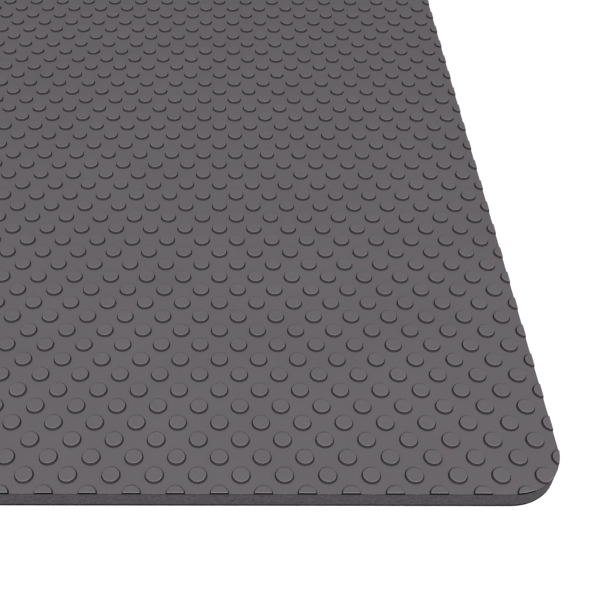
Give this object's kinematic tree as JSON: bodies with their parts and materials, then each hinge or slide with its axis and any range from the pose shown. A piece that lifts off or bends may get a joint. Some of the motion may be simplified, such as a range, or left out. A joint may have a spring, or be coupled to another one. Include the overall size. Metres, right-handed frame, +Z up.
{
  "type": "anti fatigue mat",
  "caption": "Flat cushioned floor mat for standing at a desk, with rounded corners, a grid of raised round studs on top and a non-slip underside.",
  "frame": {"origin": "middle of the underside, on the floor", "axes": "+X across the width, +Y along the length, +Z up through the thickness, studs on top"},
  "size_m": [0.6, 0.9, 0.0137],
  "materials": {
    "stud_sheet": "matt moulded grey, very fine grain",
    "foam": "knife-cut closed-cell foam, fine open pores at the cut",
    "backing": "matt black, fine moulded grip texture"
  },
  "bodies": {
    "root": {"wear_sheet": "stud_sheet", "foam_core": "foam", "grip_backing": "backing"}
  },
  "joints": []
}
